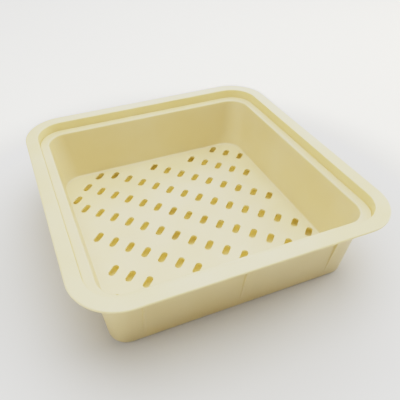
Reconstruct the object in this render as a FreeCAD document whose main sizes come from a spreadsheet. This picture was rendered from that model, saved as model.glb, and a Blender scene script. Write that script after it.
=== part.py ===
import FreeCAD, Part
import math
import os
import Sketcher

# Square cheese mould in two mouldings: an outer tub with a stepped rim, and a drainage basket that hangs
# in it by its flange. Millimetres, +Z up. The origin is the centre of the tub's underside, on the surface
# that the mould stands on.

# Driving dimensions. "half" is the distance from the middle of the mould to a flat side, and "corner" is
# the radius of a rounded corner in plan.
DIMENSIONS = {
    "overall_height": 64.0,
    "rim_half": 115.0,
    "rim_corner": 33.0,
    "rim_width": 10.5,
    "rim_thickness": 1.8,
    "rim_rounding": 0.8,
    "ledge_depth": 9.4,
    "ledge_thickness": 1.5,
    "ledge_lip_rounding": 0.9,
    "riser_wall": 1.3,
    "riser_draft": 0.15,
    "riser_foot_rounding": 0.3,
    "tub_wall": 1.2,
    "tub_floor": 1.8,
    "tub_floor_rounding": 2.0,
    "tub_shoulder_half": 99.4,
    "tub_shoulder_corner": 18.2,
    "tub_shoulder_rounding": 1.2,
    "tub_base_half": 93.6,
    "tub_base_corner": 13.0,
    "tub_base_rounding": 2.6,
    "rib_spacing": 72.0,
    "rib_width": 2.0,
    "rib_rounding": 0.4,
    "rib_root": 0.8,
    "rib_reach": 2.2,
    "rib_foot_height": 9.0,
    "rib_foot_half": 94.8,
    "seat_gap": 0.1,
    "flange_half": 104.0,
    "flange_corner": 22.0,
    "flange_thickness": 1.6,
    "flange_rounding": 0.5,
    "basket_wall": 1.2,
    "basket_floor": 1.8,
    "basket_base_rounding": 2.2,
    "cavity_depth": 45.6,
    "cavity_top_half": 96.7,
    "cavity_top_corner": 15.5,
    "cavity_lip_rounding": 1.2,
    "cavity_floor_half": 90.5,
    "cavity_floor_corner": 17.5,
    "cavity_floor_rounding": 1.6,
    "slot_width": 5.1,
    "slot_length": 11.3,
    "slot_pitch": 14.35,
    "row_pitch": 26.6,
    "corner_row_offset": 104.2,
    "end_slot_reach": 99.0,
    "end_slot_offset": 19.5,
}
SHEET = "Dimensions"

# Heights and half sizes that follow from the driving dimensions.
SHOULDER_LEVEL = "overall_height - ledge_depth - ledge_thickness"
RIM_UNDERSIDE = "overall_height - rim_thickness"
LEDGE_LEVEL = "overall_height - ledge_depth"
RISER_FOOT_HALF = "rim_half - rim_width - riser_draft"
RISER_OUTER_HALF = "rim_half - rim_width + riser_wall"
SEAT_LEVEL = LEDGE_LEVEL + " + seat_gap"
FLANGE_TOP = SEAT_LEVEL + " + flange_thickness"
FLOOR_TOP = FLANGE_TOP + " - cavity_depth"
FLOOR_UNDERSIDE = FLOOR_TOP + " - basket_floor"

# The slots stand in rows across the floor from corner to corner. Each entry is the number of slots in a
# row, from the middle row outwards, and the rows on both sides of the middle match. The last row, in the
# corner, is short and pulled in. One slot more stands beside each end of the rows next to the middle.
ROW_SLOTS = (15, 13, 9, 5)
CORNER_ROW_SLOTS = 3
ROW_ANGLE = -45.0
SIDES = 4
TOUCH = 0.01


def number(formula):
    """The value of a sum of named dimensions, such as 'rim_half - rim_width'."""
    total = 0.0
    sign = 1.0
    for word in formula.split():
        if word in "+-":
            sign = 1.0 if word == "+" else -1.0
        elif word in DIMENSIONS:
            total += sign * DIMENSIONS[word]
        else:
            total += sign * float(word)
    return total


def cells(formula):
    """The same sum, written with references to the spreadsheet's cells."""
    words = [f"{SHEET}.{word}" if word in DIMENSIONS else word for word in formula.split()]
    return " ".join(words)


def make_sheet(doc):
    sheet = doc.addObject("Spreadsheet::Sheet", SHEET)
    for row, (alias, value) in enumerate(DIMENSIONS.items(), start=1):
        sheet.set(f"A{row}", alias)
        sheet.set(f"B{row}", str(value))
        sheet.setAlias(f"B{row}", alias)
    doc.recompute()


def make_body(doc, node):
    body = doc.addObject("PartDesign::Body", node)
    body.Label = node
    body.Placement = FreeCAD.Placement()
    return body


def origin_feature(body, role):
    return next(item for item in body.Origin.OriginFeatures if item.Role == role)


def level_sketch(body, name, level, turn=0.0):
    """An empty sketch on a level plane, turned about the mould's axis."""
    sketch = body.newObject("Sketcher::SketchObject", name)
    sketch.AttachmentSupport = [(origin_feature(body, "XY_Plane"), "")]
    sketch.MapMode = "FlatFace"
    height = FreeCAD.Vector(0, 0, number(level))
    sketch.AttachmentOffset = FreeCAD.Placement(height, FreeCAD.Rotation(FreeCAD.Vector(0, 0, 1), turn))
    sketch.setExpression("AttachmentOffset.Base.z", cells(level))
    return sketch


def bind(sketch, index, name, formula):
    sketch.renameConstraint(index, name)
    sketch.setExpression(f"Constraints.{name}", formula)


def add_line(sketch, x1, y1, x2, y2):
    return sketch.addGeometry(Part.LineSegment(FreeCAD.Vector(x1, y1, 0), FreeCAD.Vector(x2, y2, 0)))


def add_corner(sketch, x, y, radius, start_degrees, sweep_degrees=90.0):
    circle = Part.Circle(FreeCAD.Vector(x, y, 0), FreeCAD.Vector(0, 0, 1), radius)
    start = math.radians(start_degrees)
    return sketch.addGeometry(Part.ArcOfCircle(circle, start, start + math.radians(sweep_degrees)))


def join_tangent(sketch, outline):
    """Join the end of each piece of a closed outline smoothly to the start of the next."""
    for piece, following in zip(outline, outline[1:] + outline[:1]):
        sketch.addConstraint(Sketcher.Constraint("Tangent", piece, 2, following, 1))


def rounded_square(body, name, level, half, corner):
    """A square with rounded corners, centred on the mould's axis."""
    sketch = level_sketch(body, name, level)
    side = number(half)
    radius = number(corner)
    flat = side - radius
    front = add_line(sketch, -flat, -side, flat, -side)
    front_right = add_corner(sketch, flat, -flat, radius, -90)
    right = add_line(sketch, side, -flat, side, flat)
    back_right = add_corner(sketch, flat, flat, radius, 0)
    back = add_line(sketch, flat, side, -flat, side)
    back_left = add_corner(sketch, -flat, flat, radius, 90)
    left = add_line(sketch, -side, flat, -side, -flat)
    front_left = add_corner(sketch, -flat, -flat, radius, 180)
    join_tangent(sketch, [front, front_right, right, back_right, back, back_left, left, front_left])
    for line in (front, back):
        sketch.addConstraint(Sketcher.Constraint("Horizontal", line))
    for line in (right, left):
        sketch.addConstraint(Sketcher.Constraint("Vertical", line))
    for arc in (back_right, back_left, front_left):
        sketch.addConstraint(Sketcher.Constraint("Equal", front_right, arc))
    sketch.addConstraint(Sketcher.Constraint("Equal", front, right))
    sketch.addConstraint(Sketcher.Constraint("Symmetric", front, 1, back, 1, -1, 1))
    width = sketch.addConstraint(Sketcher.Constraint("DistanceY", front, 1, back, 2, 2 * side))
    bind(sketch, width, "width", f"2 * ({cells(half)})")
    bend = sketch.addConstraint(Sketcher.Constraint("Radius", front_right, radius))
    bind(sketch, bend, "corner", cells(corner))
    return sketch


def rib_section(body, name, level, middle, root, nose):
    """A rib's level section: it starts inside the back wall and ends in a blunt nose with round corners."""
    sketch = level_sketch(body, name, level)
    width = number("rib_width")
    radius = number("rib_rounding")
    near = number(root)
    far = number(nose)
    left_x = number(middle) - width / 2
    right_x = left_x + width
    base = add_line(sketch, left_x, near, right_x, near)
    right = add_line(sketch, right_x, near, right_x, far - radius)
    right_corner = add_corner(sketch, right_x - radius, far - radius, radius, 0)
    tip = add_line(sketch, right_x - radius, far, left_x + radius, far)
    left_corner = add_corner(sketch, left_x + radius, far - radius, radius, 90)
    left = add_line(sketch, left_x, far - radius, left_x, near)
    for piece, following in ((base, right), (left, base)):
        sketch.addConstraint(Sketcher.Constraint("Coincident", piece, 2, following, 1))
    smooth_joins = ((right, right_corner), (right_corner, tip), (tip, left_corner), (left_corner, left))
    for piece, following in smooth_joins:
        sketch.addConstraint(Sketcher.Constraint("Tangent", piece, 2, following, 1))
    for line in (base, tip):
        sketch.addConstraint(Sketcher.Constraint("Horizontal", line))
    for line in (right, left):
        sketch.addConstraint(Sketcher.Constraint("Vertical", line))
    sketch.addConstraint(Sketcher.Constraint("Equal", right_corner, left_corner))
    bend = sketch.addConstraint(Sketcher.Constraint("Radius", right_corner, radius))
    bind(sketch, bend, "nose_rounding", cells("rib_rounding"))
    across = sketch.addConstraint(Sketcher.Constraint("DistanceX", base, 1, base, 2, width))
    bind(sketch, across, "rib_width", cells("rib_width"))
    place = sketch.addConstraint(Sketcher.Constraint("DistanceX", -1, 1, base, 1, left_x))
    bind(sketch, place, "rib_place", f"{cells(middle)} - {cells('rib_width')} / 2")
    start = sketch.addConstraint(Sketcher.Constraint("DistanceY", -1, 1, base, 1, near))
    bind(sketch, start, "rib_root", cells(root))
    end = sketch.addConstraint(Sketcher.Constraint("DistanceY", -1, 1, tip, 1, far))
    bind(sketch, end, "rib_nose", cells(nose))
    return sketch


def slot_outline(body, name, first, first_formula, offset):
    """One slot, long across its row. X runs along the row and Y from row to row."""
    sketch = level_sketch(body, name, FLOOR_TOP, ROW_ANGLE)
    radius = number("slot_width") / 2
    reach = number("slot_length") / 2 - radius
    middle = number(offset)
    right = add_line(sketch, first + radius, middle - reach, first + radius, middle + reach)
    top = add_corner(sketch, first, middle + reach, radius, 0, 180)
    left = add_line(sketch, first - radius, middle + reach, first - radius, middle - reach)
    bottom = add_corner(sketch, first, middle - reach, radius, 180, 180)
    join_tangent(sketch, [right, top, left, bottom])
    sketch.addConstraint(Sketcher.Constraint("Vertical", right))
    sketch.addConstraint(Sketcher.Constraint("Equal", top, bottom))
    bend = sketch.addConstraint(Sketcher.Constraint("Radius", top, radius))
    bind(sketch, bend, "end_radius", f"{cells('slot_width')} / 2")
    span = sketch.addConstraint(Sketcher.Constraint("DistanceY", bottom, 3, top, 3, 2 * reach))
    bind(sketch, span, "straight", f"{cells('slot_length')} - {cells('slot_width')}")
    along = sketch.addConstraint(Sketcher.Constraint("DistanceX", -1, 1, bottom, 3, first))
    bind(sketch, along, "along_row", first_formula)
    across = sketch.addConstraint(Sketcher.Constraint("DistanceY", -1, 1, bottom, 3, middle - reach))
    straight = f"({cells('slot_length')} - {cells('slot_width')}) / 2"
    bind(sketch, across, "row_offset", f"{cells(offset)} - {straight}")
    return sketch


def add_loft(body, kind, name, lower, upper):
    """A drafted solid, or a drafted hollow, between two level outlines."""
    loft = body.newObject(f"PartDesign::{kind}Loft", name)
    loft.Profile = lower
    loft.Sections = [upper]
    loft.Ruled = True
    body.Document.recompute()
    return loft


def add_plate(body, name, outline, thickness):
    pad = body.newObject("PartDesign::Pad", name)
    pad.Profile = outline
    pad.setExpression("Length", cells(thickness))
    body.Document.recompute()
    return pad


def ring_edges(shape, level, half):
    """The names of the edges that run round the mould at one height and one half size."""
    height = number(level)
    side = number(half)
    names = []
    for index, edge in enumerate(shape.Edges, start=1):
        corners = [vertex.Point for vertex in edge.Vertexes]
        level_edge = all(abs(point.z - height) < TOUCH for point in corners)
        on_side = all(abs(max(abs(point.x), abs(point.y)) - side) < TOUCH for point in corners)
        if level_edge and on_side:
            names.append(f"Edge{index}")
    return names


def add_rounding(body, name, base, radius, *rings):
    """Round one or more edge rings. Each ring is a height and a half size."""
    edges = [edge for level, half in rings for edge in ring_edges(base.Shape, level, half)]
    if len(edges) != 2 * SIDES * len(rings):
        raise RuntimeError(f"{name}: found {len(edges)} edges to round")
    fillet = body.newObject("PartDesign::Fillet", name)
    fillet.Base = (base, edges)
    fillet.setExpression("Radius", cells(radius))
    body.Document.recompute()
    return fillet


def add_ribs(body):
    """Three upright ribs on each side of the tub, which fade into the wall towards the bottom."""
    for name, middle in (("left", "0 - rib_spacing"), ("middle", "0"), ("right", "rib_spacing")):
        foot_root = "rib_foot_half - rib_root"
        foot = rib_section(body, f"rib_{name}_foot", "rib_foot_height", middle, foot_root, "rib_foot_half")
        head_root = "tub_shoulder_half - rib_root"
        head_nose = "tub_shoulder_half + rib_reach"
        head = rib_section(body, f"rib_{name}_head", SHOULDER_LEVEL, middle, head_root, head_nose)
        rib = add_loft(body, "Additive", f"rib_{name}", foot, head)
        pattern = body.newObject("PartDesign::PolarPattern", f"rib_{name}_on_each_side")
        pattern.Originals = [rib]
        pattern.Axis = (origin_feature(body, "Z_Axis"), [""])
        pattern.Angle = 360
        pattern.Occurrences = SIDES
        body.Tip = pattern
        body.Document.recompute()


def make_tub(doc):
    body = make_body(doc, "outer_tub")
    base = rounded_square(body, "base_outline", "0", "tub_base_half", "tub_base_corner")
    shoulder = rounded_square(
        body, "shoulder_outline", SHOULDER_LEVEL, "tub_shoulder_half", "tub_shoulder_corner")
    add_loft(body, "Additive", "wall_solid", base, shoulder)
    riser_corner = "rim_corner - rim_width + riser_wall"
    riser = rounded_square(body, "riser_outline", SHOULDER_LEVEL, RISER_OUTER_HALF, riser_corner)
    add_plate(body, "riser_solid", riser, "ledge_depth + ledge_thickness")
    rim = rounded_square(body, "rim_outline", RIM_UNDERSIDE, "rim_half", "rim_corner")
    solid = add_plate(body, "rim_flange", rim, "rim_thickness")
    rim_rings = ((RIM_UNDERSIDE, "rim_half"), ("overall_height", "rim_half"))
    solid = add_rounding(body, "rim_edge", solid, "rim_rounding", *rim_rings)
    shoulder_rings = ((SHOULDER_LEVEL, "tub_shoulder_half"), (SHOULDER_LEVEL, RISER_OUTER_HALF))
    solid = add_rounding(body, "shoulder_edges", solid, "tub_shoulder_rounding", *shoulder_rings)
    solid = add_rounding(body, "rim_root", solid, "rim_rounding", (RIM_UNDERSIDE, RISER_OUTER_HALF))
    add_rounding(body, "base_edge", solid, "tub_base_rounding", ("0", "tub_base_half"))
    add_ribs(body)

    inner_base_half = "tub_base_half - tub_wall"
    inner_half = "tub_shoulder_half - tub_wall"
    inner_base = rounded_square(
        body, "inner_base_outline", "tub_floor", inner_base_half, "tub_base_corner - tub_wall")
    inner_top = rounded_square(
        body, "inner_top_outline", LEDGE_LEVEL, inner_half, "tub_shoulder_corner - tub_wall")
    add_loft(body, "Subtractive", "tub_hollow", inner_base, inner_top)
    riser_foot_corner = "rim_corner - rim_width - riser_draft"
    riser_foot = rounded_square(
        body, "riser_foot_outline", LEDGE_LEVEL, RISER_FOOT_HALF, riser_foot_corner)
    riser_top = rounded_square(
        body, "riser_top_outline", "overall_height", "rim_half - rim_width", "rim_corner - rim_width")
    solid = add_loft(body, "Subtractive", "rim_step", riser_foot, riser_top)
    rim_mouth = ("overall_height", "rim_half - rim_width")
    solid = add_rounding(body, "rim_mouth_edge", solid, "rim_rounding", rim_mouth)
    solid = add_rounding(body, "riser_foot", solid, "riser_foot_rounding", (LEDGE_LEVEL, RISER_FOOT_HALF))
    solid = add_rounding(body, "ledge_lip", solid, "ledge_lip_rounding", (LEDGE_LEVEL, inner_half))
    add_rounding(body, "tub_floor_edge", solid, "tub_floor_rounding", ("tub_floor", inner_base_half))
    return body


def cut_row(body, name, count, spacing, offset):
    """A row of slots through the basket's floor, centred on the mould."""
    step = number(spacing)
    first = -(count - 1) * step / 2
    first_formula = f"-({count - 1}) * ({cells(spacing)}) / 2"
    outline = slot_outline(body, f"{name}_outline", first, first_formula, offset)
    volume_before = body.Tip.Shape.Volume
    pocket = body.newObject("PartDesign::Pocket", f"{name}_slot")
    pocket.Profile = outline
    pocket.setExpression("Length", cells("basket_floor + basket_floor"))
    body.Document.recompute()
    slot_volume = volume_before - pocket.Shape.Volume
    if slot_volume < number("slot_width") * number("basket_floor"):
        raise RuntimeError(f"{name}: the first slot cuts nothing")
    pattern = body.newObject("PartDesign::LinearPattern", f"{name}_slots")
    pattern.Originals = [pocket]
    pattern.Direction = (outline, ["H_Axis"])
    pattern.Mode = "Spacing"
    pattern.setExpression("Offset", cells(spacing))
    pattern.Occurrences = count
    body.Tip = pattern
    body.Document.recompute()
    if abs(volume_before - pattern.Shape.Volume - count * slot_volume) > TOUCH * slot_volume:
        raise RuntimeError(f"{name}: the slots run into each other or off the floor")


def make_basket(doc):
    body = make_body(doc, "drain_basket")
    outer_floor = rounded_square(
        body, "outer_floor_outline", FLOOR_UNDERSIDE, "cavity_floor_half + basket_wall",
        "cavity_floor_corner + basket_wall")
    outer_top = rounded_square(
        body, "outer_top_outline", SEAT_LEVEL, "cavity_top_half + basket_wall",
        "cavity_top_corner + basket_wall")
    add_loft(body, "Additive", "basket_solid", outer_floor, outer_top)
    flange = rounded_square(body, "flange_outline", SEAT_LEVEL, "flange_half", "flange_corner")
    solid = add_plate(body, "basket_flange", flange, "flange_thickness")
    flange_rings = ((SEAT_LEVEL, "flange_half"), (FLANGE_TOP, "flange_half"))
    solid = add_rounding(body, "flange_edge", solid, "flange_rounding", *flange_rings)
    flange_root = (SEAT_LEVEL, "cavity_top_half + basket_wall")
    solid = add_rounding(body, "flange_root", solid, "flange_rounding", flange_root)
    outer_ring = (FLOOR_UNDERSIDE, "cavity_floor_half + basket_wall")
    add_rounding(body, "basket_base_edge", solid, "basket_base_rounding", outer_ring)
    cavity_floor = rounded_square(
        body, "cavity_floor_outline", FLOOR_TOP, "cavity_floor_half", "cavity_floor_corner")
    cavity_top = rounded_square(
        body, "cavity_top_outline", FLANGE_TOP, "cavity_top_half", "cavity_top_corner")
    solid = add_loft(body, "Subtractive", "cheese_cavity", cavity_floor, cavity_top)
    lip_ring = (FLANGE_TOP, "cavity_top_half")
    solid = add_rounding(body, "cavity_lip", solid, "cavity_lip_rounding", lip_ring)
    floor_ring = (FLOOR_TOP, "cavity_floor_half")
    add_rounding(body, "cavity_floor_edge", solid, "cavity_floor_rounding", floor_ring)

    cut_row(body, "middle_row", ROW_SLOTS[0], "slot_pitch", "0")
    row_offset = ""
    for row, count in enumerate(ROW_SLOTS[1:], start=1):
        row_offset += " + row_pitch"
        cut_row(body, f"back_row_{row}", count, "slot_pitch", row_offset)
        cut_row(body, f"front_row_{row}", count, "slot_pitch", row_offset.replace("+", "-"))
    for side, sign in (("back", "+"), ("front", "-")):
        cut_row(body, f"{side}_corner_row", CORNER_ROW_SLOTS, "slot_pitch", f"{sign} corner_row_offset")
        end_spacing = "end_slot_reach + end_slot_reach"
        cut_row(body, f"{side}_end_pair", 2, end_spacing, f"{sign} end_slot_offset")
    return body


def check(doc, bodies):
    for item in doc.Objects:
        if "Invalid" in item.State or "Error" in item.State:
            raise RuntimeError(f"{item.Label} failed: {item.State}")
    for body in bodies:
        shape = body.Shape
        if shape.isNull() or not shape.isValid() or len(shape.Solids) != 1:
            raise RuntimeError(f"{body.Label} is not one valid solid")


def main():
    doc = FreeCAD.newDocument("cheese_mould")
    make_sheet(doc)
    bodies = [make_tub(doc), make_basket(doc)]
    doc.recompute()
    check(doc, bodies)
    os.makedirs("parts", exist_ok=True)
    for body in bodies:
        body.Shape.exportStep(f"parts/{body.Label}.step")
        box = body.Shape.BoundBox
        print(body.Label, "volume", round(body.Shape.Volume), "mm3, box",
              round(box.XLength, 2), round(box.YLength, 2), round(box.ZMin, 2), round(box.ZMax, 2))


main()
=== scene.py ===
"""Looks of a square cheese mould of ivory plastic: a tub with a stepped rim, and the slotted basket in it.

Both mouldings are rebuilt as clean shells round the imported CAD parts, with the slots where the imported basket
has them. The shells' sizes are in millimetres. Everything else is in metres, in the row frame.
"""

import math

import bpy
import numpy as np
from mathutils import Matrix, Vector
from mathutils.geometry import delaunay_2d_cdt


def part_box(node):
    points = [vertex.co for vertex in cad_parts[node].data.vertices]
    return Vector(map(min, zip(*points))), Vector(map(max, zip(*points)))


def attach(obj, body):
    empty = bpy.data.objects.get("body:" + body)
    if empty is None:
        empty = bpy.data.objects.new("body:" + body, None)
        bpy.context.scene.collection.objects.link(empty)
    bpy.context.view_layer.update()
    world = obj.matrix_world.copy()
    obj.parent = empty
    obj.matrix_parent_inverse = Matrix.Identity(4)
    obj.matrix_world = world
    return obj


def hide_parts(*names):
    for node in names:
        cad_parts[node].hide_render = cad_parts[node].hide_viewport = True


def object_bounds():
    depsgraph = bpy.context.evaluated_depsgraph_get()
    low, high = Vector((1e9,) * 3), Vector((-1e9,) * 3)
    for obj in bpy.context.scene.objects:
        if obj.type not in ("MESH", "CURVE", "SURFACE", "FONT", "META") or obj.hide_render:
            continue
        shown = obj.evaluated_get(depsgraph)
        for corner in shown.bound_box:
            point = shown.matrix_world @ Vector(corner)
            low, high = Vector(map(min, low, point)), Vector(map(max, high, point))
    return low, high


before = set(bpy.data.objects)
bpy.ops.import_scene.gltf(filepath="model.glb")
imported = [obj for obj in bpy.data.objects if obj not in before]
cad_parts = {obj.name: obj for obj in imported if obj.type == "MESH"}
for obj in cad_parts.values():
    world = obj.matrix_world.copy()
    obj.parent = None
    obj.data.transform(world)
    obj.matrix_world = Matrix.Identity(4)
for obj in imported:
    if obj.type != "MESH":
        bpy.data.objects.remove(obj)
cad_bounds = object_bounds()

MM = 0.001
MICRONS_PER_MM = 1000

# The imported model's outer sizes, to the micron. A HALF is half of a square's side, and a CORNER the radius of
# its corners in plan.
basket_low, basket_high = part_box("drain_basket")
RIM_HALF = round(cad_bounds[1].x / MM, 3)
RIM_TOP = round(cad_bounds[1].z / MM, 3)
BASKET_HALF = round(basket_high.x / MM, 3)
BASKET_TOP = round(basket_high.z / MM, 3)
BASKET_UNDERSIDE = round(basket_low.z / MM, 3)

WALL = 1.2
FLOOR_THICKNESS = 1.8

# The tub's rim is a flange, then a riser down to a ledge, and the wall hangs from the ledge's inner edge.
RIM_CORNER = 33.0
FLANGE_WIDTH = 10.5
FLANGE_THICKNESS = 1.8
RIM_UNDERSIDE = RIM_TOP - FLANGE_THICKNESS
RISER_HALF, RISER_CORNER = RIM_HALF - FLANGE_WIDTH, RIM_CORNER - FLANGE_WIDTH
RISER_WALL = 1.3
RISER_DRAFT = 0.15
LEDGE_TOP = 54.6
LEDGE_THICKNESS = 1.5
LEDGE_UNDERSIDE = LEDGE_TOP - LEDGE_THICKNESS
TUB_HEAD_HALF, TUB_HEAD_CORNER = 99.4, 18.2
TUB_FOOT_HALF, TUB_FOOT_CORNER = 93.6, 13.0

# The basket hangs by its flange, just clear of the ledge. Its cavity is where the cheese forms.
BASKET_CORNER = 22.0
LEDGE_CLEARANCE = 0.1
BASKET_FLANGE_UNDERSIDE = LEDGE_TOP + LEDGE_CLEARANCE
CAVITY_HEAD_HALF, CAVITY_HEAD_CORNER = 96.7, 15.5
CAVITY_FOOT_HALF, CAVITY_FOOT_CORNER = 90.5, 17.5
BASKET_FLOOR_TOP = BASKET_UNDERSIDE + FLOOR_THICKNESS
PACKED_FLOOR_MATCH = 0.01

# Half section of each moulding, from the middle of its underside out, up over its rim and in to the middle of
# its floor: half size, corner radius, height, and rounding of the bend there.
TUB_SECTION = (
    (TUB_FOOT_HALF, TUB_FOOT_CORNER, 0.0, 2.6),
    (TUB_HEAD_HALF, TUB_HEAD_CORNER, LEDGE_UNDERSIDE, 1.2),
    (RISER_HALF + RISER_WALL, RISER_CORNER + RISER_WALL, LEDGE_UNDERSIDE, 1.2),
    (RISER_HALF + RISER_WALL, RISER_CORNER + RISER_WALL, RIM_UNDERSIDE, 0.8),
    (RIM_HALF, RIM_CORNER, RIM_UNDERSIDE, 0.8),
    (RIM_HALF, RIM_CORNER, RIM_TOP, 0.8),
    (RISER_HALF, RISER_CORNER, RIM_TOP, 0.8),
    (RISER_HALF - RISER_DRAFT, RISER_CORNER - RISER_DRAFT, LEDGE_TOP, 0.3),
    (TUB_HEAD_HALF - WALL, TUB_HEAD_CORNER - WALL, LEDGE_TOP, 0.9),
    (TUB_FOOT_HALF - WALL, TUB_FOOT_CORNER - WALL, FLOOR_THICKNESS, 2.0),
)
BASKET_SECTION = (
    (CAVITY_FOOT_HALF + WALL, CAVITY_FOOT_CORNER + WALL, BASKET_UNDERSIDE, 2.2),
    (CAVITY_HEAD_HALF + WALL, CAVITY_HEAD_CORNER + WALL, BASKET_FLANGE_UNDERSIDE, 0.5),
    (BASKET_HALF, BASKET_CORNER, BASKET_FLANGE_UNDERSIDE, 0.5),
    (BASKET_HALF, BASKET_CORNER, BASKET_TOP, 0.5),
    (CAVITY_HEAD_HALF, CAVITY_HEAD_CORNER, BASKET_TOP, 1.2),
    (CAVITY_FOOT_HALF, CAVITY_FOOT_CORNER, BASKET_FLOOR_TOP, 1.6),
)

# Lengths under TINY count as nothing. A section's two ends run on inwards, level, by FLAT_RUN. Each side has
# points at SIDE_STATIONS, and the tub's outer wall has further rings at WALL_LEVELS.
TINY = 1e-6
FLAT_RUN = 20.0
BEND_STEP = math.radians(15)
CORNER_STEPS = 14
SIDE_STATIONS = range(-66, 67, 11)
WALL_LEVELS = (5.5, 7.5, 9.0, 12.0, 22.0, 32.0, 42.0, 49.0)

# The level plates are filled with a grid of points, which keeps clear of their outlines. The triangulation's
# mode 1 fills only what is inside the outer outline.
PLATE_GRID = 6.0
PLATE_MARGIN = 1.0
PLATE_CLEAR = PLATE_MARGIN + 0.3 * PLATE_GRID
PLATE_CORNER = 22.0
INSIDE_ONLY = 1

# Ribs on the tub's outer wall, which fade out towards the bottom. A rib's nose is RIB_FOOT_HALF from the
# mould's middle at its foot, and RIB_HEAD_HALF at its head. Below a rib, the wall has as many stations as the
# rib has, RIB_SPREAD apart. Plain stations keep RIB_ROOM away from a rib's middle.
RIB_MIDDLES = (-72, 0, 72)
RIB_FOOT_HEIGHT = 9.0
RIB_FOOT_HALF = 94.8
RIB_HEAD_HALF = 101.6
RIB_HALF_WIDTH = 1.0
RIB_NOSE = 0.4
RIB_FOOT = 0.25
RIB_FOOT_SHARE = 0.3
RIB_LEAN = 0.03
RIB_ROOM = 5
RIB_STATIONS = 12
RIB_SPREAD = 0.6
RIB_SHOULDER_SHARE = 0.5

SLOT_WIDTH = 5.1
SLOT_LENGTH = 11.3
SLOT_TURN = math.radians(45)
SLOT_TOP_ROUNDING = 0.35
SLOT_UNDER_ROUNDING = 0.2
SLOT_EDGE_STEPS = 3
SLOT_END_STEPS = 10

# The ivory plastic. Its noises are (scale, detail, roughness), and its bumps (strength, height).
IVORY_DEEP = (0.905, 0.740, 0.336)
IVORY_PALE = (0.942, 0.796, 0.412)
IVORY_THROUGH = (0.955, 0.860, 0.420)
TRANSLUCENCY = 0.32
PLASTIC_IOR = 1.49
PLASTIC_SPECULAR = 0.5
COAT_WEIGHT = 1.0
COAT_ROUGHNESS = 0.35
MOTTLE_NOISE = (26.0, 3.0, 0.5)
MOTTLE_FROM, MOTTLE_TO = 0.32, 0.68
GLOSS_NOISE = (60.0, 4.0, 0.6)
ROUGHNESS_LOW, ROUGHNESS_HIGH = 0.34, 0.50
WAVE_NOISE = (38.0, 1.0, 0.5)
WAVE_BUMP = (0.35, 0.0006)
GRAIN_NOISE = (1500.0, 3.0, 0.6)
GRAIN_BUMP = (0.3, 0.00003)
TUB_SHIFT = (0.0, 0.0, 0.0)
BASKET_SHIFT = (3.1, 1.7, 0.4)

# The studio's floor is a pale table, a hair under the mould, which glows at some distance from it and barely
# near it:
# a painted pool of shade round the mould.
TABLE_SIZE = 6.0
TABLE_STEPS = 12
TABLE_DROP = 0.0004
TABLE_TONE = (0.54, 0.51, 0.44)
TABLE_ROUGHNESS = 0.9
TABLE_SPECULAR = 0.1
# The glow is low near the mould and high far from it, and rises between these two distances: a painted shade
# pool.
TABLE_GLOW_IN_PAINTED_SHADE, TABLE_GLOW_FAR = 0.06, 0.88
TABLE_GLOW_FROM, TABLE_GLOW_TO = 0.12, 0.28

# A lit panel lies between the table and the mould, and shines up through the tub's bottom. The room hardly
# lights the mould, but is seen pale behind the table.
PANEL_SIZE = 0.17
PANEL_WATTS = 0.070
ROOM_LIGHT = 0.01
ROOM_SEEN = 1.05
WHITE = (1.0, 1.0, 1.0)
COOL_WHITE = (0.94, 1.0, 1.11)
SOFTBOXES_AIM = (0.0, 0.0, 0.03)
SOFTBOXES = (
    # name, place, size, watts, colour
    ("top", (0.0, 0.0, 1.1), 1.0, 13.0, COOL_WHITE),
    ("behind", (0.45, 1.02, 0.88), 1.1, 9.0, COOL_WHITE),
    ("right", (1.1, 0.0, 0.6), 0.8, 9.5, WHITE),
    ("left", (-1.1, 0.0, 0.6), 0.8, 4.6, WHITE),
)

# The photograph's view: the camera looks down the line that runs back from a point on the rim's plane.
VIEW_AZIMUTH = math.radians(-21.21)
VIEW_ELEVATION = math.radians(39.30)
VIEW_ROLL = math.radians(-0.72)
VIEW_TARGET = (-0.02673, -0.03148)
VIEW_DISTANCE = 0.32577
LENS_MM = 40.76
SENSOR_MM = 36
SHIFT = (0.0694, -0.0097)
NEAREST_SEEN = 0.01

# The camera's response to light: it flattens over the lit plastic, and goes to white well above it.
SHOULDER = 2.4
SHOULDER_TOP = 0.81
SHOULDER_MARKS = (0.05, 0.12, 0.20, 0.30, 0.42, 0.56, 0.72, 0.92, 1.15, 1.40)
BURNT_OUT = 2.0


def rounded_section(section):
    """The section's corners turned into arcs: (half, corner, height) for each ring round the mould."""
    ends = [(half - FLAT_RUN, corner - FLAT_RUN, height)
            for half, corner, height, _ in (section[0], section[-1])]
    points = [ends[0]] + [vertex[:3] for vertex in section] + [ends[1]]
    rings = []
    for index, (_, _, _, radius) in enumerate(section, start=1):
        half, corner, height = points[index]
        here = np.array((half, height))
        ways, slopes = [], []
        for other in (points[index - 1], points[index + 1]):
            run = np.array((other[0], other[2])) - here
            length = np.linalg.norm(run)
            level = abs(other[2] - height) < TINY
            ways.append(run / length)
            slopes.append(math.copysign(1.0, run[0]) if level else (other[1] - corner) / length)
        between = math.acos(np.clip(ways[0] @ ways[1], -1, 1))
        bisector = (ways[0] + ways[1]) / np.linalg.norm(ways[0] + ways[1])
        centre = here + bisector * radius / math.sin(between / 2)
        tangent = radius / math.tan(between / 2)
        start = here + ways[0] * tangent - centre
        end = here + ways[1] * tangent - centre
        turn = math.pi - between
        steps = max(2, math.ceil(turn / BEND_STEP))
        for step in range(steps + 1):
            share = step / steps
            arm = (start * math.sin((1 - share) * turn) + end * math.sin(share * turn)) / math.sin(turn)
            point = centre + arm
            along = np.linalg.solve(np.array(ways).T, point - here)
            rings.append((point[0], corner + along @ slopes, point[1]))
    return rings


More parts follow.
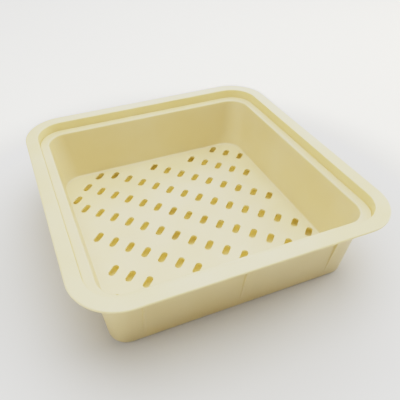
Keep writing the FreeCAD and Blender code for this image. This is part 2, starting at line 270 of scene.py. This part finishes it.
def add_levels(rings, levels, before):
    """More rings up the straight outer wall, which runs between two neighbouring rings of the list."""
    low, high = rings[before - 1], rings[before]
    extra = []
    for level in levels:
        share = (level - low[2]) / (high[2] - low[2])
        extra.append(tuple(a + share * (b - a) for a, b in zip(low, high)))
    return rings[:before] + extra + rings[before:]


def rib_stations(stand):
    """(place along the side, distance out from it) across one rib that stands this far out of the wall."""
    if stand <= 0:
        return [(RIB_SPREAD * (index - (RIB_STATIONS - 1) / 2), 0.0) for index in range(RIB_STATIONS)]
    nose = min(RIB_NOSE, stand)
    foot = min(RIB_FOOT, RIB_FOOT_SHARE * stand)
    halfway_round = 1 - math.sqrt(0.5)
    flank = [
        (RIB_HALF_WIDTH + RIB_LEAN + foot, 0.0),
        (RIB_HALF_WIDTH + RIB_LEAN + halfway_round * foot, halfway_round * foot),
        (RIB_HALF_WIDTH + RIB_LEAN, foot),
        (RIB_HALF_WIDTH, stand - nose),
        (RIB_HALF_WIDTH - halfway_round * nose, stand - halfway_round * nose),
        (RIB_HALF_WIDTH - nose, stand),
    ]
    return [(-along, out) for along, out in flank] + flank[::-1]


def side_line(ribs, stand):
    """Stations along one side, from left to right: (place, distance out)."""
    line = [(float(place), 0.0) for place in SIDE_STATIONS]
    if ribs:
        line = [entry for entry in line if all(abs(entry[0] - middle) > RIB_ROOM for middle in RIB_MIDDLES)]
        for middle in RIB_MIDDLES:
            line += [(middle + along, out) for along, out in rib_stations(stand)]
    return sorted(line)


def ring_outline(half, corner, ribs=False, stand=0.0):
    """A square with rounded corners as a closed line of points, anticlockwise from above."""
    flat = half - corner
    side = [(-flat, half)] + [(along, half + out) for along, out in side_line(ribs, stand)] + [(flat, half)]
    turns = [0.5 * math.pi * step / CORNER_STEPS for step in range(1, CORNER_STEPS)]
    side += [(flat + corner * math.sin(turn), flat + corner * math.cos(turn)) for turn in turns]
    outline = []
    for cosine, sine in ((1, 0), (0, 1), (-1, 0), (0, -1)):
        outline += [(along * cosine + out * sine, along * sine - out * cosine) for along, out in side]
    return outline


def slot_outline(centre, offset):
    """A slot's outline, that far outside its straight sides, anticlockwise from above."""
    radius = SLOT_WIDTH / 2 + offset
    reach = (SLOT_LENGTH - SLOT_WIDTH) / 2
    outline = []
    for end in (0, math.pi):
        middle_x = centre[0] + reach * math.cos(SLOT_TURN + end)
        middle_y = centre[1] + reach * math.sin(SLOT_TURN + end)
        for step in range(SLOT_END_STEPS + 1):
            turn = SLOT_TURN + end - math.pi / 2 + math.pi * step / SLOT_END_STEPS
            outline.append((middle_x + radius * math.cos(turn), middle_y + radius * math.sin(turn)))
    return outline


def near_slot(point, centre, offset):
    """Whether a point is within that distance of the slot's sides, or inside it."""
    reach = (SLOT_LENGTH - SLOT_WIDTH) / 2
    away = (np.array(point) - np.array(centre)) @ np.array(((1, -1), (1, 1))) / math.sqrt(2)
    nearest = np.clip(away[0], -reach, reach)
    return math.hypot(away[0] - nearest, away[1]) < SLOT_WIDTH / 2 + offset


def within_round(x, y, reach):
    """Whether a grid point is inside a rounded square of that half size, with room to spare."""
    over_x = max(abs(x) - (reach - PLATE_CORNER), 0)
    over_y = max(abs(y) - (reach - PLATE_CORNER), 0)
    return math.hypot(over_x, over_y) < PLATE_CORNER - PLATE_MARGIN


def encloses(outline, point):
    """Whether a point is inside a closed line, by counting the crossings of a level ray from it."""
    x, y = point
    crossings = 0
    for (x1, y1), (x2, y2) in zip(outline, outline[1:] + outline[:1]):
        if (y1 > y) != (y2 > y) and x < x1 + (y - y1) * (x2 - x1) / (y2 - y1):
            crossings += 1
    return crossings % 2 == 1


def area_normals(mesh):
    """Each point's normal as the mean of its faces' normals by area, so that flats stay flat beside bends."""
    points = np.empty(len(mesh.vertices) * 3)
    mesh.vertices.foreach_get("co", points)
    points = points.reshape(-1, 3)
    normals = np.zeros_like(points)
    for polygon in mesh.polygons:
        corners = points[list(polygon.vertices)]
        area = 0.5 * sum(np.cross(corners[i] - corners[0], corners[i + 1] - corners[0])
                         for i in range(1, len(corners) - 1))
        normals[list(polygon.vertices)] += area
    normals /= np.maximum(np.linalg.norm(normals, axis=1), 1e-20)[:, None]
    return [tuple(normal) for normal in normals]


class Shell:
    """A closed mesh, gathered ring by ring in millimetres."""

    def __init__(self):
        self.points = []
        self.faces = []

    def add_line(self, outline, height):
        """A level line of points, as the list of their numbers."""
        first = len(self.points)
        self.points += [(x, y, height) for x, y in outline]
        return list(range(first, len(self.points)))

    def bridge(self, lower, upper):
        """Quads between two rings of the same number of points."""
        for index in range(len(lower)):
            after = (index + 1) % len(lower)
            self.faces.append((lower[index], lower[after], upper[after], upper[index]))

    def add_grid(self, border, height, slots):
        """Grid points inside a plate, clear of its border and its slots, as the list of their numbers."""
        reach = np.abs(border).max()
        count = int(reach / PLATE_GRID)
        marks = np.arange(-count, count + 1) * PLATE_GRID
        first = len(self.points)
        for x in marks:
            for y in marks:
                inside = max(abs(x), abs(y)) < reach - PLATE_MARGIN and within_round(x, y, reach)
                clear = np.hypot(*(border - (x, y)).T).min() > PLATE_CLEAR
                if inside and clear and not any(near_slot((x, y), slot, PLATE_MARGIN) for slot in slots):
                    self.points.append((x, y, height))
        return list(range(first, len(self.points)))

    def fills_hole(self, corners, owners):
        """Whether a triangle lies in the hole that has all its corners on its line."""
        hole = owners.get(corners[0])
        if not hole or any(owners.get(corner) is not hole for corner in corners):
            return False
        middle = np.mean([self.points[corner][:2] for corner in corners], axis=0)
        return encloses([self.points[corner][:2] for corner in hole], middle)

    def plate(self, outer, holes, height, upward, slots=()):
        """A level plate between an outer ring and inner rings. A band round one plain hole needs no grid."""
        ids, edges = [], []
        for ring in (outer, *holes):
            start = len(ids)
            ids += ring
            edges += [(start + index, start + (index + 1) % len(ring)) for index in range(len(ring))]
        if slots or not holes:
            border = np.array([self.points[index][:2] for index in ids])
            ids += self.add_grid(border, height, slots)
        flat = [Vector(self.points[index][:2]) for index in ids]
        placed, _, triangles, origins, _, _ = delaunay_2d_cdt(flat, edges, [], INSIDE_ONLY, TINY)
        if len(placed) != len(flat):
            raise RuntimeError("a plate's outlines cross each other")
        owners = {corner: hole for hole in holes for corner in hole}
        for triangle in triangles:
            corners = [ids[origins[corner][0]] for corner in triangle]
            if not self.fills_hole(corners, owners):
                self.faces.append(tuple(corners if upward else corners[::-1]))

    def build(self, name):
        """The mesh as an object in the scene, in metres."""
        mesh = bpy.data.meshes.new(name)
        mesh.from_pydata([tuple(value * MM for value in point) for point in self.points], [], self.faces)
        mesh.validate()
        mesh.polygons.foreach_set("use_smooth", [True] * len(mesh.polygons))
        mesh.normals_split_custom_set_from_vertices(area_normals(mesh))
        mesh.update()
        piece = bpy.data.objects.new(name, mesh)
        bpy.context.scene.collection.objects.link(piece)
        return piece


def rib_stand(half, height):
    """How far a rib stands out of the wall at this height. It follows half of the bend under the shoulder."""
    if height <= RIB_FOOT_HEIGHT - TINY:
        return 0.0
    wall = TUB_FOOT_HALF + (TUB_HEAD_HALF - TUB_FOOT_HALF) / LEDGE_UNDERSIDE * height
    rise = (height - RIB_FOOT_HEIGHT) / (LEDGE_UNDERSIDE - RIB_FOOT_HEIGHT)
    nose = RIB_FOOT_HALF + rise * (RIB_HEAD_HALF - RIB_FOOT_HALF)
    return nose + RIB_SHOULDER_SHARE * max(half - wall, 0) - half


def make_tub():
    """The tub as one closed shell: a ribbed outer wall, then plain rings over the rim and down inside."""
    rings = rounded_section(TUB_SECTION)
    wall_foot = next(i for i, ring in enumerate(rings) if ring[2] > WALL_LEVELS[0])
    rings = add_levels(rings, WALL_LEVELS, wall_foot)
    shoulder = next(i for i, ring in enumerate(rings) if ring[2] > LEDGE_UNDERSIDE - TINY)
    shell = Shell()
    ribbed = [shell.add_line(ring_outline(half, corner, True, rib_stand(half, height)), height)
              for half, corner, height in rings[:shoulder + 1]]
    plain = [shell.add_line(ring_outline(half, corner), height)
             for half, corner, height in rings[shoulder + 1:]]
    for lines in (ribbed, plain):
        for lower, upper in zip(lines, lines[1:]):
            shell.bridge(lower, upper)
    shell.plate(ribbed[0], [], 0.0, upward=False)
    shell.plate(plain[0], [ribbed[-1]], LEDGE_UNDERSIDE, upward=False)
    shell.plate(plain[-1], [], FLOOR_THICKNESS, upward=True)
    return shell.build("tub_shell")


def floor_slots(node):
    """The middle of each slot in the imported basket's floor, in millimetres, from the holes in its top."""
    mesh = node.data
    points = np.array([vertex.co for vertex in mesh.vertices]) / MM
    numbers = {}
    places = [tuple(np.round(point * MICRONS_PER_MM).astype(int)) for point in points]
    same = [numbers.setdefault(place, len(numbers)) for place in places]
    plan = {number: point[:2] for number, point in zip(same, points)}
    edges = set()
    for polygon in mesh.polygons:
        if all(abs(points[corner][2] - BASKET_FLOOR_TOP) < PACKED_FLOOR_MATCH for corner in polygon.vertices):
            corners = [same[corner] for corner in polygon.vertices]
            edges.update(zip(corners, corners[1:] + corners[:1]))
    following = {a: b for a, b in sorted(edges) if (b, a) not in edges}
    middles = []
    while following:
        here = start = min(following)
        loop = []
        while here in following:
            loop.append(plan[here])
            here = following.pop(here)
        low, high = np.min(loop, axis=0), np.max(loop, axis=0)
        if here == start and max(high - low) < 2 * SLOT_LENGTH:
            middles.append(tuple((low + high) / 2))
    return middles


def slot_rings():
    """(offset, height) down a slot's wall, with both edges rounded."""
    quarter = math.pi / 2
    top = [(SLOT_TOP_ROUNDING * (1 - math.sin(turn)),
            BASKET_FLOOR_TOP - SLOT_TOP_ROUNDING * (1 - math.cos(turn)))
           for turn in np.linspace(0, quarter, SLOT_EDGE_STEPS + 1)]
    under = [(SLOT_UNDER_ROUNDING * (1 - math.cos(turn)),
              BASKET_UNDERSIDE + SLOT_UNDER_ROUNDING * (1 - math.sin(turn)))
             for turn in np.linspace(0, quarter, SLOT_EDGE_STEPS)]
    return top + under


def make_basket(node):
    """The basket as one closed shell, with a wall round each of its slots."""
    shell = Shell()
    lines = [shell.add_line(ring_outline(half, corner), height)
             for half, corner, height in rounded_section(BASKET_SECTION)]
    for lower, upper in zip(lines, lines[1:]):
        shell.bridge(lower, upper)
    slots = floor_slots(node)
    tops, unders = [], []
    for slot in slots:
        walls = [shell.add_line(slot_outline(slot, offset), height) for offset, height in slot_rings()]
        for upper, lower in zip(walls, walls[1:]):
            shell.bridge(upper, lower)
        tops.append(walls[0])
        unders.append(walls[-1])
    shell.plate(lines[-1], tops, BASKET_FLOOR_TOP, upward=True, slots=slots)
    shell.plate(lines[0], unders, BASKET_UNDERSIDE, upward=False, slots=slots)
    return shell.build("basket_shell")


def ivory_plastic(name, shift):
    """Satin ivory polypropylene: waxy, slightly mottled, with a fine moulded grain and faint long waves."""
    material = bpy.data.materials.new(name)
    material.use_nodes = True
    nodes, links = material.node_tree.nodes, material.node_tree.links
    shader = nodes["Principled BSDF"]
    shader.inputs["IOR"].default_value = PLASTIC_IOR
    shader.inputs["Specular IOR Level"].default_value = PLASTIC_SPECULAR
    shader.inputs["Coat Weight"].default_value = COAT_WEIGHT
    shader.inputs["Coat Roughness"].default_value = COAT_ROUGHNESS

    # Part of the light goes through the wall, and comes out golden.
    through = nodes.new("ShaderNodeBsdfTranslucent")
    through.inputs["Color"].default_value = (*IVORY_THROUGH, 1)
    plastic = nodes.new("ShaderNodeMixShader")
    plastic.inputs["Fac"].default_value = TRANSLUCENCY
    links.new(shader.outputs["BSDF"], plastic.inputs[1])
    links.new(through.outputs["BSDF"], plastic.inputs[2])
    links.new(plastic.outputs["Shader"], nodes["Material Output"].inputs["Surface"])

    place = nodes.new("ShaderNodeTexCoord")
    moved = nodes.new("ShaderNodeMapping")
    moved.inputs["Location"].default_value = shift
    links.new(place.outputs["Object"], moved.inputs["Vector"])

    def noise(scale, detail, roughness):
        texture = nodes.new("ShaderNodeTexNoise")
        texture.inputs["Scale"].default_value = scale
        texture.inputs["Detail"].default_value = detail
        texture.inputs["Roughness"].default_value = roughness
        links.new(moved.outputs["Vector"], texture.inputs["Vector"])
        return texture.outputs["Fac"]

    def bump(strength, height, texture):
        relief = nodes.new("ShaderNodeBump")
        relief.inputs["Strength"].default_value = strength
        relief.inputs["Distance"].default_value = height
        links.new(texture, relief.inputs["Height"])
        return relief

    mottle = nodes.new("ShaderNodeValToRGB")
    deep, pale = mottle.color_ramp.elements
    deep.position, pale.position = MOTTLE_FROM, MOTTLE_TO
    deep.color = (*IVORY_DEEP, 1)
    pale.color = (*IVORY_PALE, 1)
    links.new(noise(*MOTTLE_NOISE), mottle.inputs["Fac"])
    links.new(mottle.outputs["Color"], shader.inputs["Base Color"])

    gloss = nodes.new("ShaderNodeMapRange")
    gloss.inputs["To Min"].default_value = ROUGHNESS_LOW
    gloss.inputs["To Max"].default_value = ROUGHNESS_HIGH
    links.new(noise(*GLOSS_NOISE), gloss.inputs["Value"])
    links.new(gloss.outputs["Result"], shader.inputs["Roughness"])

    waves = bump(*WAVE_BUMP, noise(*WAVE_NOISE))
    grain = bump(*GRAIN_BUMP, noise(*GRAIN_NOISE))
    links.new(waves.outputs["Normal"], grain.inputs["Normal"])
    links.new(grain.outputs["Normal"], shader.inputs["Normal"])
    return material


def table_with_painted_shade_pool():
    """Matt and faintly warm. It glows away from the mould and hardly under it, so that a pool of shade is
    painted round the mould.
    """
    material = bpy.data.materials.new("studio_floor")
    material.use_nodes = True
    nodes, links = material.node_tree.nodes, material.node_tree.links
    shader = nodes["Principled BSDF"]
    shader.inputs["Base Color"].default_value = (*TABLE_TONE, 1)
    shader.inputs["Emission Color"].default_value = (*WHITE, 1)
    shader.inputs["Roughness"].default_value = TABLE_ROUGHNESS
    shader.inputs["Specular IOR Level"].default_value = TABLE_SPECULAR
    place = nodes.new("ShaderNodeTexCoord")
    away = nodes.new("ShaderNodeVectorMath")
    away.operation = "LENGTH"
    links.new(place.outputs["Object"], away.inputs[0])
    # Painted shade: the glow is kept low close to the mould, and rises with the distance from its middle.
    glow = nodes.new("ShaderNodeMapRange")
    glow.interpolation_type = "SMOOTHSTEP"
    glow.inputs["From Min"].default_value = TABLE_GLOW_FROM
    glow.inputs["From Max"].default_value = TABLE_GLOW_TO
    glow.inputs["To Min"].default_value = TABLE_GLOW_IN_PAINTED_SHADE
    glow.inputs["To Max"].default_value = TABLE_GLOW_FAR
    links.new(away.outputs["Value"], glow.inputs["Value"])
    links.new(glow.outputs["Result"], shader.inputs["Emission Strength"])
    return material


def make_table():
    """The level table, as a grid of square faces."""
    marks = np.linspace(-TABLE_SIZE / 2, TABLE_SIZE / 2, TABLE_STEPS + 1)
    points = [(x, y, -TABLE_DROP) for y in marks for x in marks]
    row = TABLE_STEPS + 1
    starts = [r * row + c for r in range(TABLE_STEPS) for c in range(TABLE_STEPS)]
    mesh = bpy.data.meshes.new("studio_floor")
    mesh.from_pydata(points, [], [(start, start + 1, start + 1 + row, start + row) for start in starts])
    mesh.materials.append(table_with_painted_shade_pool())
    floor = bpy.data.objects.new("studio_floor", mesh)
    bpy.context.scene.collection.objects.link(floor)


def add_softbox(name, place, size, watts, colour, target):
    """A square lamp that faces its target."""
    lamp = bpy.data.lights.new(name, "AREA")
    lamp.shape = "SQUARE"
    lamp.size = size
    lamp.energy = watts
    lamp.color = colour
    light = bpy.data.objects.new(name, lamp)
    light.location = place
    light.rotation_euler = (Vector(target) - light.location).to_track_quat("-Z", "Y").to_euler()
    bpy.context.scene.collection.objects.link(light)


def make_lights():
    """A pale room that is seen but hardly lights the mould, softboxes, and the lit panel under the mould."""
    world = bpy.data.worlds.new("studio")
    bpy.context.scene.world = world
    world.use_nodes = True
    nodes, links = world.node_tree.nodes, world.node_tree.links
    lit = nodes["Background"]
    seen = nodes.new("ShaderNodeBackground")
    for background, strength in ((lit, ROOM_LIGHT), (seen, ROOM_SEEN)):
        background.inputs["Color"].default_value = (*WHITE, 1)
        background.inputs["Strength"].default_value = strength
    choice = nodes.new("ShaderNodeMixShader")
    links.new(nodes.new("ShaderNodeLightPath").outputs["Is Camera Ray"], choice.inputs["Fac"])
    links.new(lit.outputs["Background"], choice.inputs[1])
    links.new(seen.outputs["Background"], choice.inputs[2])
    links.new(choice.outputs["Shader"], nodes["World Output"].inputs["Surface"])
    for softbox in SOFTBOXES:
        add_softbox(*softbox, target=SOFTBOXES_AIM)
    add_softbox("under_panel", (0, 0, -TABLE_DROP / 2), PANEL_SIZE, PANEL_WATTS, WHITE, target=(0, 0, 1))


def make_camera(rim_height):
    """The camera looks at a point on the rim's plane, from the photograph's direction and distance."""
    back = Vector((math.sin(VIEW_AZIMUTH) * math.cos(VIEW_ELEVATION),
                   -math.cos(VIEW_AZIMUTH) * math.cos(VIEW_ELEVATION), math.sin(VIEW_ELEVATION)))
    lens = bpy.data.cameras.new("camera")
    lens.lens = LENS_MM
    lens.sensor_width = SENSOR_MM
    lens.shift_x, lens.shift_y = SHIFT
    lens.clip_start = NEAREST_SEEN
    camera = bpy.data.objects.new("camera", lens)
    camera.location = Vector((*VIEW_TARGET, rim_height)) + back * VIEW_DISTANCE
    level = (-back).to_track_quat("-Z", "Y").to_matrix().to_4x4()
    camera.rotation_euler = (level @ Matrix.Rotation(VIEW_ROLL, 4, Vector((0, 0, 1)))).to_euler()
    bpy.context.scene.collection.objects.link(camera)
    bpy.context.scene.camera = camera


def set_response():
    """How light turns into the picture's brightness, as a curve over the standard view."""
    settings = bpy.context.scene.view_settings
    settings.view_transform = "Standard"
    settings.use_curve_mapping = True
    mapping = settings.curve_mapping
    mapping.white_level = (BURNT_OUT,) * 3
    combined = mapping.curves[3]
    for light in SHOULDER_MARKS:
        combined.points.new(light / BURNT_OUT, SHOULDER_TOP * (1 - math.exp(-SHOULDER * light)))
    mapping.update()


tub = make_tub()
tub.data.materials.append(ivory_plastic("tub_satin_ivory", TUB_SHIFT))
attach(tub, "tub")
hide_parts("outer_tub")

basket = make_basket(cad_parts["drain_basket"])
basket.data.materials.append(ivory_plastic("basket_satin_ivory", BASKET_SHIFT))
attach(basket, "basket")
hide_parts("drain_basket")

make_table()
make_lights()
make_camera(cad_bounds[1].z)
set_response()
